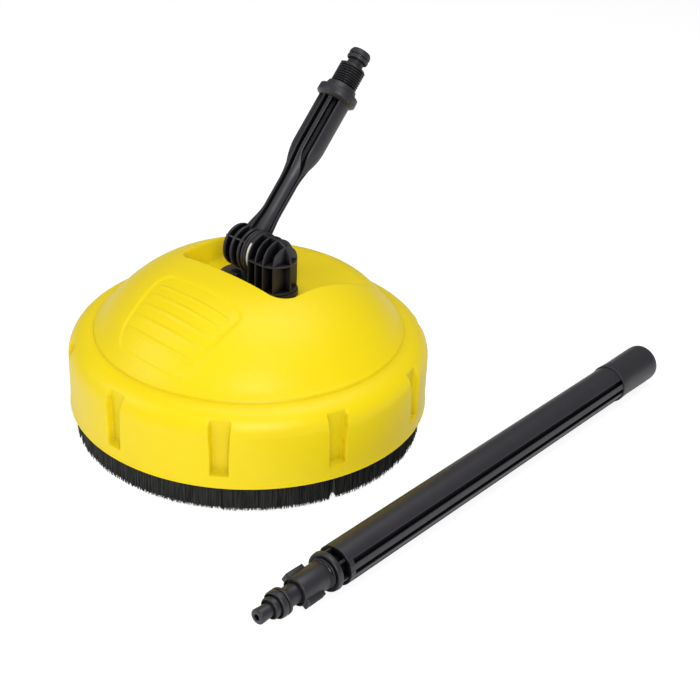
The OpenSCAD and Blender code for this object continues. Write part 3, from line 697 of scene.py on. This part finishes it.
# %% Comb, copies and bends
brush_low, brush_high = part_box("brush_ring")
brush_r = 1000 * brush_high.x
brush_top_z = 1000 * brush_high.z
ROWS = 7
ROW_GAP = 1.05
FIRST_ROW_IN = 0.6
FILAMENT_R = 0.42
STEPS = 900
comb = bmesh.new()
for row in range(ROWS):
    row_r = brush_r - FIRST_ROW_IN - row * ROW_GAP
    place = Matrix.Translation((row_r * MM, 0, brush_top_z / 2 * MM))
    bmesh.ops.create_cone(
        comb,
        cap_ends=True,
        segments=3,
        radius1=FILAMENT_R * MM * 0.75,
        radius2=FILAMENT_R * MM,
        depth=brush_top_z * MM,
        matrix=place,
    )
for height in (6.0, 14.0):
    everything = comb.verts[:] + comb.edges[:] + comb.faces[:]
    bmesh.ops.bisect_plane(comb, geom=everything, plane_co=(0, 0, height * MM), plane_no=(0, 0, 1))
bmesh.ops.spin(
    comb,
    geom=comb.verts[:] + comb.edges[:] + comb.faces[:],
    cent=(0, 0, 0),
    axis=(0, 0, 1),
    dvec=(0, 0, 0),
    angle=2 * math.pi * (STEPS - 1) / STEPS,
    steps=STEPS - 1,
    use_duplicate=True,
)
STRIPS = 10
SHUT_JOINT = 0.12
GAP_HEIGHT = 7.0


def joint_gap(turn, reach):
    """How open the joint between two strips is at this turn: 0 beyond its reach in millimetres."""
    joint = turn / (2 * math.pi / STRIPS) - 0.5
    away = abs(joint - round(joint)) * brush_r * 2 * math.pi / STRIPS
    # every third joint has opened, and the others stay nearly shut
    return (1.0 if round(joint) % 3 == 2 else SHUT_JOINT) * max(0.0, 1 - away / reach)


for vert in comb.verts:
    x, y, z = (1000 * c for c in vert.co)
    radius = math.hypot(x, y)
    turn = math.atan2(y, x)
    step = round(turn / (2 * math.pi / STEPS))
    row = round((brush_r - FIRST_ROW_IN - radius) / ROW_GAP)
    own = [noise.cell(Vector((step + 0.5, row + 0.5, k + 0.5))) for k in range(5)]
    tuft = noise.noise(Vector((step * 0.09, 3.3, 0.0)))
    hang = (1 - z / brush_top_z) ** 1.6
    joint = turn / (2 * math.pi / STRIPS) - 0.5
    lean = math.copysign(joint_gap(turn, 4.2), joint - round(joint))
    across = (own[0] - 0.5) * 0.5 * hang + 0.4 * tuft * hang + 1.8 * lean * hang + (own[3] - 0.5) * 0.5
    outward = (own[1] - 0.5) * 0.6 * hang + (own[4] - 0.5) * 0.4 - 0.2
    strip_cut = noise.cell(Vector((math.floor(joint) % STRIPS + 0.5, 7.5, 0.5)))
    uneven = 0.25 * own[2] ** 2 + 0.2 * max(0.0, tuft) + 0.4 * strip_cut
    uneven += GAP_HEIGHT * joint_gap(turn, 2.0)
    shortened = (0.1 + uneven) * (1 - z / brush_top_z)
    turn += across / radius
    radius = min(radius + outward, brush_r + 0.3)
    vert.co = Vector((radius * math.cos(turn), radius * math.sin(turn), z + shortened)) * MM

# A dark backing behind the front rows, so that no light passes between the filaments
BACKING_R = (129.4, 134.4)
BACKING_LOW_Z = 1.2
backing_outline = [(BACKING_R[0], BACKING_LOW_Z), (BACKING_R[1], BACKING_LOW_Z)]
backing_outline += [(BACKING_R[1], brush_top_z), (BACKING_R[0], brush_top_z)]
backing = lathe(backing_outline, STEPS)
for vert in backing.verts:
    if vert.co.z < brush_top_z / 2 * MM:
        vert.co.z += (GAP_HEIGHT + 2) * MM * joint_gap(math.atan2(vert.co.y, vert.co.x), 2.5)
piece("bristles", [comb, backing], bristle_black, "head", ["brush_ring"])

# %% [markdown]
# ## The pivot's upright
# The upright is a ribbed moulding: a solid core that holds the hinge pin, wrapped in thin plates
# with deep pockets between them, which keeps the wall thin and the part stiff. The plates are
# extruded outlines with rounded rims, so each one draws a fine grey line where it catches light.

# %% Places shared by the pivot and the arm
hinge = next(j for j in frame["record"]["behaviour"]["joints"] if j["name"] == "arm_tilt")["pos_m"]
hinge_y, hinge_z = 1000 * hinge[1], 1000 * hinge[2]
BARREL_R = 16.5
CORE_R = 10.5
POST_CORE_R = 7.6
PIN_R = 6.05
RIB_T = 1.5
EDGE = 0.35
at_hinge = Matrix.Translation((0, hinge_y * MM, hinge_z * MM))
along_x = Matrix.Rotation(math.pi / 2, 4, "Y")
plinth_low_z = RECESS_FLOOR_Z
plinth_high_z = plinth_low_z + 5.0
post_x = 4.0
post_end_x = 17.5
POST_RIB_STEP = 7.6
foot_z = plinth_high_z - 1.0

# %% Core, hoops, spine and foot
upright = []
core_start = post_x + 0.3
core_corners = [(PIN_R, core_start, 0), (POST_CORE_R, core_start, 0.3), (POST_CORE_R, post_end_x, 0)]
core_outline = rounded(core_corners)
core_outline += arc(0, post_end_x, POST_CORE_R, 0, 90, 10)[1:]
core_outline[-1] = (0, post_end_x + POST_CORE_R)
core_outline += [(0, post_end_x + POST_CORE_R - 1), (PIN_R, post_end_x + 3)]
upright.append(lathe(core_outline, 48, at_hinge @ along_x))
column = [(core_start, -POST_CORE_R)] + arc(post_end_x, 0, POST_CORE_R, -90, 90, 16)
column += [(core_start, POST_CORE_R)]
column_height = hinge_z - PIN_R - foot_z
column_middle = Matrix.Translation((0, hinge_y * MM, (foot_z + column_height / 2) * MM))
upright.append(plate(column, column_height, 0.3, column_middle))

# this turn stands a plate up: its outline's X becomes the model's Y, and its Y becomes Z
standing = Matrix(((0, 0, 1, 0), (1, 0, 0, 0), (0, 1, 0, 0), (0, 0, 0, 1)))


def standing_plate(x, half_width):
    """A rib across the post: round over the hinge axis and straight down to the foot."""
    outline = arc(0, 0, half_width, 0, 180, 28)
    outline += [(-half_width, foot_z - hinge_z), (half_width, foot_z - hinge_z)]
    return plate(outline, RIB_T, EDGE, at_hinge @ Matrix.Translation((x * MM, 0, 0)) @ standing)


for i in range(4):
    middle = post_x + RIB_T / 2 + i * POST_RIB_STEP
    beyond = max(0.0, middle - post_end_x)
    upright.append(standing_plate(middle, math.sqrt(BARREL_R**2 - beyond**2)))

spine = [(post_x + 0.4, foot_z - hinge_z), (post_x + 0.4, BARREL_R)]
spine += arc(post_end_x, 0, BARREL_R, 90, 0, 20)
spine += [(post_end_x + BARREL_R, foot_z - hinge_z)]
upright.append(plate(spine, RIB_T, EDGE, at_hinge @ Matrix.Rotation(math.pi / 2, 4, "X")))


def rounded_tongue(start_x, half_width):
    """A flat tongue along X with a half-round end."""
    outline = [(start_x, -half_width)] + arc(post_end_x, 0, half_width, -90, 90, 32)
    return outline + [(start_x, half_width)]


upright.append(plate(rounded_tongue(post_x + 0.4, BARREL_R), RIB_T, EDGE, at_hinge))
# a hood on the first rib covers the washer's rim, except for a stretch at the front
washer_low, washer_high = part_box("hinge_washer")
washer_r = 500 * (washer_high.y - washer_low.y)
HOOD_W = 2.6
HOOD_START, HOOD_END = -40, 132
hood = arc(0, 0, BARREL_R + 0.1, HOOD_START, HOOD_END, 40)
hood += arc(0, 0, washer_r + 0.15, HOOD_END, HOOD_START, 40)
hood_middle = Matrix.Translation(((post_x - 1.1) * MM, 0, 0))
upright.append(plate(hood, HOOD_W, 0.2, at_hinge @ hood_middle @ standing))
at_foot = Matrix.Translation((0, hinge_y * MM, (plinth_high_z + 1.0) * MM))
upright.append(plate(rounded_tongue(post_x, BARREL_R + 0.2), 2.0, EDGE, at_foot))

# %% Plinth and screw bosses
PLINTH_X = 18.0
PLINTH_R = 17.5
stadium = arc(PLINTH_X, 0, PLINTH_R, -90, 90, 28) + arc(-PLINTH_X, 0, PLINTH_R, 90, 270, 28)
plinth_middle = Matrix.Translation((0, hinge_y * MM, (plinth_low_z + plinth_high_z) / 2 * MM))
upright.append(plate(stadium, plinth_high_z - plinth_low_z, 0.7, plinth_middle))
boss_top_z = plinth_high_z + 4
for dy in (-8.0, 8.0):
    boss = rounded([(0, plinth_low_z, 0), (4, plinth_low_z, 0), (4, boss_top_z, 0.6), (0, boss_top_z, 0)])
    upright.append(lathe(boss, 24, Matrix.Translation((-17 * MM, (hinge_y + dy) * MM, 0)), closed=False))
stem = [(2, 100), (7.4, 100), (7.4, plinth_low_z + 0.5), (2, plinth_low_z + 0.5)]
upright.append(lathe(stem, 32))
piece("upright_moulding", upright, black_nylon, "head", ["pivot_upright"])

# %% [markdown]
# ## The inlet arm
# The arm's barrel is ribbed like the upright: hoops round it and four fins along it, ending in a
# ball. Above it the arm is one long moulding whose section changes: an H-shaped neck, then a grip
# with three deep flutes front and back and a smooth leaf-shaped land on each side. It is spun as
# a plain rod, and each column of vertices is given a job, such as flute floor, rib or land, so
# the flutes keep crisp edges while the section swells along the length.

# %% The barrel's hoops and fins
ARM_ANGLE = 46.9
ARM_X = -8.5
LOBE_END_X = 1.0
BALL_X = -17.7
CAP_R = 7.75
arm_turn = at_hinge @ Matrix.Rotation(math.radians(ARM_ANGLE - 90), 4, "X")
arm_axis = arm_turn @ Matrix.Translation((ARM_X * MM, 0, 0))
barrel = []
core = [(PIN_R, LOBE_END_X - 0.3), (CORE_R, LOBE_END_X - 0.3), (CORE_R, BALL_X)]
core += arc(0, BALL_X, CORE_R, 0, -42, 8)[1:]
core += [(CAP_R, BALL_X - 2.8), (PIN_R, BALL_X - 2.8)]
barrel.append(lathe(core, 48, arm_turn @ along_x))
# two thin rings and a filled channel between them make the thick end flange
hoop_places = [LOBE_END_X - 0.6, LOBE_END_X - 3.0]
hoop_places += [LOBE_END_X - 7.8 + RIB_T / 2 - i * POST_RIB_STEP for i in range(3)]
channel = [(CAP_R + 0.3, LOBE_END_X - 3.4), (BARREL_R - 0.8, LOBE_END_X - 3.4)]
channel += [(BARREL_R - 0.8, LOBE_END_X - 0.2), (CAP_R + 0.3, LOBE_END_X - 0.2)]
barrel.append(lathe(channel, 72, arm_turn @ along_x))
inner_r = CAP_R + 0.3
for x in hoop_places:
    beyond = max(0.0, BALL_X - x)
    outer_r = math.sqrt(BARREL_R**2 - beyond**2)
    half_t = RIB_T / 2 if x < LOBE_END_X - 4 else 0.6
    near_x, far_x = x - half_t, x + half_t
    hoop = rounded(
        [(inner_r, near_x, 0), (outer_r, near_x, EDGE), (outer_r, far_x, EDGE), (inner_r, far_x, 0)],
        segments=2,
    )
    barrel.append(lathe(hoop, 72, arm_turn @ along_x))
fin = [(LOBE_END_X - 0.4, CAP_R), (LOBE_END_X - 0.4, BARREL_R)]
fin += arc(BALL_X, 0, BARREL_R, 90, 112, 8) + [(BALL_X - 9, CAP_R)]
for quarter in range(4):
    around = Matrix.Rotation(quarter * math.pi / 2, 4, "X")
    barrel.append(plate(fin, RIB_T, EDGE, arm_turn @ around))

# %% The neck and the fluted grip
QUARTER = 28
NECK_LOW, NECK_HIGH = 9.0, 136.0
GRIP_R = 13.0
RIB_R = 11.4
WAIST_R = 7.9
FLUTE_HALF_W = 1.7
RIB_REACH = 5.0
ROOT_FLARE = 4.4
rod = lathe([(10, s) for s in spread(NECK_LOW, NECK_HIGH, 1.0) + [NECK_HIGH]], 4 * QUARTER, closed=False)


def between_stops(stops, column):
    """Radius and turn of a column, read between stops of (column, turn, radius)."""
    for (k0, t0, r0), (k1, t1, r1) in zip(stops, stops[1:]):
        if column <= k1:
            f = (column - k0) / (k1 - k0)
            return r0 + (r1 - r0) * f, t0 + (t1 - t0) * f
    return stops[-1][2], stops[-1][1]


def grip_section(column, s):
    """Radius and turn of a column, 0 at the front and QUARTER at the side, at a distance s."""
    swell = ramp(58, 92, s)
    root = 1.4 * ramp(34, 12, s)
    land_r = WAIST_R + root + (GRIP_R - WAIST_R) * swell
    rib_r = WAIST_R + root + (RIB_R - WAIST_R) * swell
    opening = ramp(62, 86, s)
    closing = ramp(133.5, 131.5, s)
    a = math.degrees(math.asin(FLUTE_HALF_W / rib_r))
    b = 76 + (math.degrees(math.asin(RIB_REACH / RIB_R)) - 76) * opening
    c = 84 + (53 - 84) * opening
    middle_floor = rib_r - (2.6 + 2.6 * opening) * closing * ramp(9, 18, s)
    side_floor = land_r - (1.1 + (land_r - 6.3 - 1.1) * ramp(64, 76, s)) * closing
    skin = rib_r + (land_r - rib_r) * (1 - closing)
    stops = [
        (0, 0, middle_floor),
        (3, a - 0.8, middle_floor),
        (4, a + 0.8, skin - 0.2),
        (5, a + 3.0, skin),
        (9, b - 2.5, skin),
        (10, b - 0.6, skin - 0.2),
        (11, b + 0.8, side_floor),
        (14, c - 0.8, side_floor),
        (15, c + 0.6, land_r - 0.2),
        (16, c + 2.0, land_r),
        (QUARTER, 90, land_r),
    ]
    return between_stops(stops, column)


for vert in rod.verts:
    s = 1000 * vert.co.z
    # the turn from the front, which is local -Y, towards +X
    turn = math.degrees(math.atan2(vert.co.x, -vert.co.y))
    folded = abs(turn) if abs(turn) <= 90 else 180 - abs(turn)
    radius, new_turn = grip_section(round(folded / 90 * QUARTER), s)
    if abs(turn) > 90:
        new_turn = 180 - new_turn
    new_turn = math.radians(math.copysign(new_turn, turn))
    # the side away from the post flares out to meet the barrel
    flare = ROOT_FLARE * ramp(36, 12, s) if turn < 0 else 0.0
    vert.co.x = (radius + flare) * math.sin(new_turn) * MM
    vert.co.y = -radius * math.cos(new_turn) * MM
rod_ends = [e for e in rod.edges if e.is_boundary]
bmesh.ops.holes_fill(rod, edges=rod_ends, sides=0)
bmesh.ops.recalc_face_normals(rod, faces=rod.faces)
rod.transform(arm_axis)

# %% Collar, thread and spigot
COLLAR_S = 135.0
THREAD_S = 145.5
THREAD_TURNS = 9
PITCH = 2.0
CREST_R = 10.85
ROOT_R = 9.75
SPIGOT_S = 164.0
collar = rounded(
    [
        (4.6, COLLAR_S - 2, 0),
        (12.6, COLLAR_S - 2, 0.3),
        (15.9, COLLAR_S, 0.5),
        (15.9, COLLAR_S + 5.3, 0.6),
        (13.4, COLLAR_S + 7.2, 0.5),
        (11.2, COLLAR_S + 10.4, 0.3),
        (4.6, COLLAR_S + 10.4, 0),
    ]
)
head = [lathe(collar, 96, arm_axis)]

thread_end_s = THREAD_S + THREAD_TURNS * PITCH
thread_rows = spread(THREAD_S - 0.6, thread_end_s, 0.22) + [thread_end_s]
thread = lathe([(4.6, THREAD_S - 0.6)] + [(10, s) for s in thread_rows] + [(4.6, thread_rows[-1])], 96)
for vert in thread.verts:
    s = 1000 * vert.co.z
    if math.hypot(vert.co.x, vert.co.y) < 0.008:
        continue
    turn = math.atan2(vert.co.x, -vert.co.y)
    phase = (s - THREAD_S) / PITCH - turn / (2 * math.pi)
    wave = abs(2 * (phase % 1.0) - 1)
    height = min(1.0, max(0.0, 1.5 * wave - 0.25))
    height *= ramp(THREAD_S - 0.4, THREAD_S + 1, s) * ramp(thread_rows[-1], thread_rows[-1] - 1.2, s)
    # a mould split leaves a plain strip down one side of the thread
    plain = ramp(-1.75, -1.55, turn) * ramp(-0.5, -0.7, turn)
    radius = ROOT_R + (CREST_R - ROOT_R) * (height * (1 - plain) + 0.75 * plain)
    vert.co.x = radius * math.sin(turn) * MM
    vert.co.y = -radius * math.cos(turn) * MM
thread.transform(arm_axis)
head.append(thread)

spigot = rounded(
    [
        (4.6, SPIGOT_S - 2, 0),
        (7.1, SPIGOT_S - 2, 0),
        (7.1, SPIGOT_S + 5.2, 0.2),
        (8.0, SPIGOT_S + 5.7, 0.3),
        (8.0, SPIGOT_S + 7.4, 0.2),
        (6.1, SPIGOT_S + 7.4, 0.1),
        (6.1, SPIGOT_S + 9.6, 0.1),
        (8.0, SPIGOT_S + 9.6, 0.2),
        (8.0, SPIGOT_S + 11.6, 0.5),
        (6.9, SPIGOT_S + 13, 0.3),
        (4.6, SPIGOT_S + 13, 0.3),
    ]
)
head.append(lathe(spigot, 72, arm_axis))
piece("arm_moulding", barrel + [rod] + head, black_nylon, "arm", ["inlet_arm"])

# %% [markdown]
# ## The lance
# The lance is a moulded tube over a steel pipe. Three long flutes run down each side, and smooth
# lands are left on top and underneath. It is spun and fluted in the same way as the grip. At one
# end is a bayonet plug with two lugs, and at the other a loose coupling nut.

# %% The fluted tube
lance_low, lance_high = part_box("lance_tube")
lance_x = 500 * (lance_low.x + lance_high.x)
lance_z = 1000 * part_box("coupling_nut")[1].z / 2
tube_y, tube_end_y = 1000 * lance_low.y, 1000 * lance_high.y
TUBE_R = 14.85
GROOVE = 3.4
lance_axis = Matrix.Translation((lance_x * MM, 0, lance_z * MM)) @ Matrix.Rotation(-math.pi / 2, 4, "X")
TUBE_QUARTER = 24
tube_rows = [tube_y, tube_y + 0.3, tube_y + 4.5, tube_y + 5.5]
tube_rows += spread(tube_y + 8, tube_end_y, 8) + [tube_end_y]
tube = lathe([(TUBE_R, y) for y in tube_rows], 4 * TUBE_QUARTER, closed=False)


def tube_section(column, y):
    """Radius and turn of a column, 0 at the tube's side and TUBE_QUARTER at its top."""
    floor = TUBE_R - GROOVE * ramp(tube_y + 4.4, tube_y + 5.6, y)
    rim = TUBE_R - 0.35 * ramp(tube_y + 0.4, tube_y, y)
    stops = [
        (0, 0, floor),
        (2, 6.0, floor),
        (3, 6.8, rim - 0.15),
        (4, 8.0, rim),
        (6, 22.8, rim),
        (7, 24.0, rim - 0.15),
        (8, 24.8, floor),
        (10, 37.6, floor),
        (11, 38.4, rim - 0.15),
        (12, 39.6, rim),
        (TUBE_QUARTER, 90, rim),
    ]
    return between_stops(stops, column)


for vert in tube.verts:
    turn = math.degrees(math.atan2(vert.co.y, vert.co.x))
    folded = abs(turn) if abs(turn) <= 90 else 180 - abs(turn)
    radius, new_turn = tube_section(round(folded / 90 * TUBE_QUARTER), 1000 * vert.co.z)
    if abs(turn) > 90:
        new_turn = 180 - new_turn
    new_turn = math.radians(math.copysign(new_turn, turn))
    vert.co.x, vert.co.y = radius * math.cos(new_turn) * MM, radius * math.sin(new_turn) * MM
bmesh.ops.holes_fill(tube, edges=[e for e in tube.edges if e.is_boundary], sides=0)
bmesh.ops.recalc_face_normals(tube, faces=tube.faces)
tube.transform(lance_axis)
piece("lance_tube_moulding", [tube], black_nylon, "lance", ["lance_tube"], corner=30)

# %% The bayonet plug
tip_y = 1000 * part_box("lance_plug")[0].y
LAND_Y = -179.0
BARREL_Y = -155.0
FLANGE_Y = -127.0
plug = rounded(
    [
        (2.5, tip_y, 0.5),
        (5.4, tip_y, 0.9),
        (5.4, LAND_Y + 0.4, 0.4),
        (7.0, LAND_Y + 0.4, 0.4),
        (7.9, LAND_Y + 5, 0.2),
        (9.1, LAND_Y + 5, 0.4),
        (9.1, LAND_Y + 8.4, 0.2),
        (7.15, LAND_Y + 8.4, 0.1),
        (7.15, LAND_Y + 10.6, 0.1),
        (9.1, LAND_Y + 10.6, 0.2),
        (9.1, LAND_Y + 12, 0.3),
        (7.9, LAND_Y + 12, 0.3),
        (7.9, BARREL_Y, 0.3),
        (9.75, BARREL_Y, 0.4),
        (9.75, FLANGE_Y - 3, 0.3),
        (8.4, FLANGE_Y - 3, 0.1),
        (8.4, FLANGE_Y - 0.6, 0.1),
        (10.4, FLANGE_Y - 0.6, 0.3),
        (10.4, FLANGE_Y, 0.2),
        (14.0, FLANGE_Y, 0.7),
        (14.0, FLANGE_Y + 3.6, 0.4),
        (8.4, FLANGE_Y + 3.6, 0.4),
        (8.4, tube_y + 0.5, 0),
        (2.5, tube_y + 0.5, 0),
    ],
    segments=3,
)
plug_shapes = [lathe(plug, 72, lance_axis)]
for i in range(6):
    turn = Matrix.Rotation(math.radians(12 + 60 * i), 4, "Z")
    web = [(7, FLANGE_Y + 3), (13.4, FLANGE_Y + 3), (13.4, tube_y + 0.4), (7, tube_y + 0.4)]
    plug_shapes.append(plate(web, 2.0, 0.25, lance_axis @ turn @ Matrix.Rotation(math.pi / 2, 4, "X")))

# %% The plug's lugs
LUG_LENGTH, LUG_WIDTH = 16.5, 7.6
LUG_ROOT, LUG_REACH = 5, 12.8
PLUG_TURN = 30.0


def lug(side):
    """A bayonet lug: a rounded block with a moulded pocket in its outer end."""
    bm = bmesh.new()
    half_l, half_w = LUG_LENGTH / 2, LUG_WIDTH / 2
    corners = [(-half_l, -half_w, 0.5), (half_l, -half_w, 1.6), (half_l, half_w, 1.6), (-half_l, half_w, 0.5)]
    face = bm.faces.new([bm.verts.new((LUG_ROOT * MM, y * MM, x * MM)) for x, y in rounded(corners, 4)])
    grown = bmesh.ops.extrude_face_region(bm, geom=[face])["geom"]
    outer_face = next(f for f in grown if isinstance(f, bmesh.types.BMFace))
    bmesh.ops.translate(bm, verts=outer_face.verts, vec=((LUG_REACH - LUG_ROOT) * MM, 0, 0))
    bmesh.ops.recalc_face_normals(bm, faces=bm.faces)
    rim = list(outer_face.edges)
    bmesh.ops.bevel(bm, geom=rim, offset=0.4 * MM, affect="EDGES", segments=2, profile=0.5, material=-1)
    end = max(bm.faces, key=lambda f: (f.calc_center_median().x, f.calc_area()))
    bmesh.ops.inset_region(bm, faces=[end], thickness=1.7 * MM)
    pressed = bmesh.ops.extrude_face_region(bm, geom=[end])["geom"]
    floor_verts = [v for v in pressed if isinstance(v, bmesh.types.BMVert)]
    bmesh.ops.translate(bm, verts=floor_verts, vec=(-2.5 * MM, 0, 0))
    middle = Matrix.Translation((0, 0, (BARREL_Y + 1 + half_l) * MM))
    bm.transform(lance_axis @ Matrix.Rotation(math.radians(PLUG_TURN) + side, 4, "Z") @ middle)
    return bm


plug_shapes += [lug(0.0), lug(math.pi)]
piece("plug_moulding", plug_shapes, black_nylon, "lance", ["lance_plug"])

# %% The coupling nut
nut_low, nut_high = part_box("coupling_nut")
nut_y, nut_end_y = 1000 * nut_low.y, 1000 * nut_high.y
NUT_R = 15.65
NUT_BORE_R = 9.9
NUT_THREADS = 9
nut_outline = rounded(
    [
        (8.3, nut_y + 4.5, 0),
        (8.3, nut_y, 0.3),
        (NUT_R - 0.5, nut_y, 0.3),
        (NUT_R - 0.3, nut_y + 10, 0),
        (NUT_R, nut_end_y - 4, 1.0),
        (NUT_R - 0.6, nut_end_y, 0.9),
        (11.2, nut_end_y, 0.4),
        (11.2, nut_end_y - 3, 0),
    ],
    segments=5,
)
bore = []
for i in range(NUT_THREADS):
    low = nut_end_y - 3 - 2 * i
    bore += [(NUT_BORE_R, low - 0.4), (NUT_BORE_R, low - 0.9)]
    bore += [(NUT_BORE_R + 1.0, low - 1.5), (NUT_BORE_R, low - 2.0)]
nut_outline += bore + [(NUT_BORE_R, nut_y + 28.7), (11.7, nut_y + 28.7), (11.7, nut_y + 4.5)]
nut = lathe(nut_outline, 96, lance_axis)
piece("nut_moulding", [nut], black_nylon, "lance_nut", ["coupling_nut"])

# %% [markdown]
# ## Finishes for the CAD parts
# The parts inside, and the small ones that already have the right shape, stay as the CAD model
# has them. Each gets the finish of its material slot, so the spray bar, the bearings and the
# nozzles are finished as well as the pieces outside.

# %% Materials by slot
finish_of = {
    "housing_yellow": yellow_polypropylene,
    "moulded_black": black_nylon,
    "brush_black": bristle_black,
    "stainless": stainless_steel,
    "brass": yellow_brass,
    "nylon_white": white_nylon,
    "nitrile": greased_nitrile,
}
for part in frame["record"]["subparts"]:
    cad_object = frame["nodes"][part["node"]]
    for material_slot in cad_object.material_slots:
        material_slot.material = finish_of[part["material_slot"]]

# %% Measure and finish
low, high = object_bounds()
print("visual box in mm:", [round(1000 * v, 1) for v in (*low, *high)])
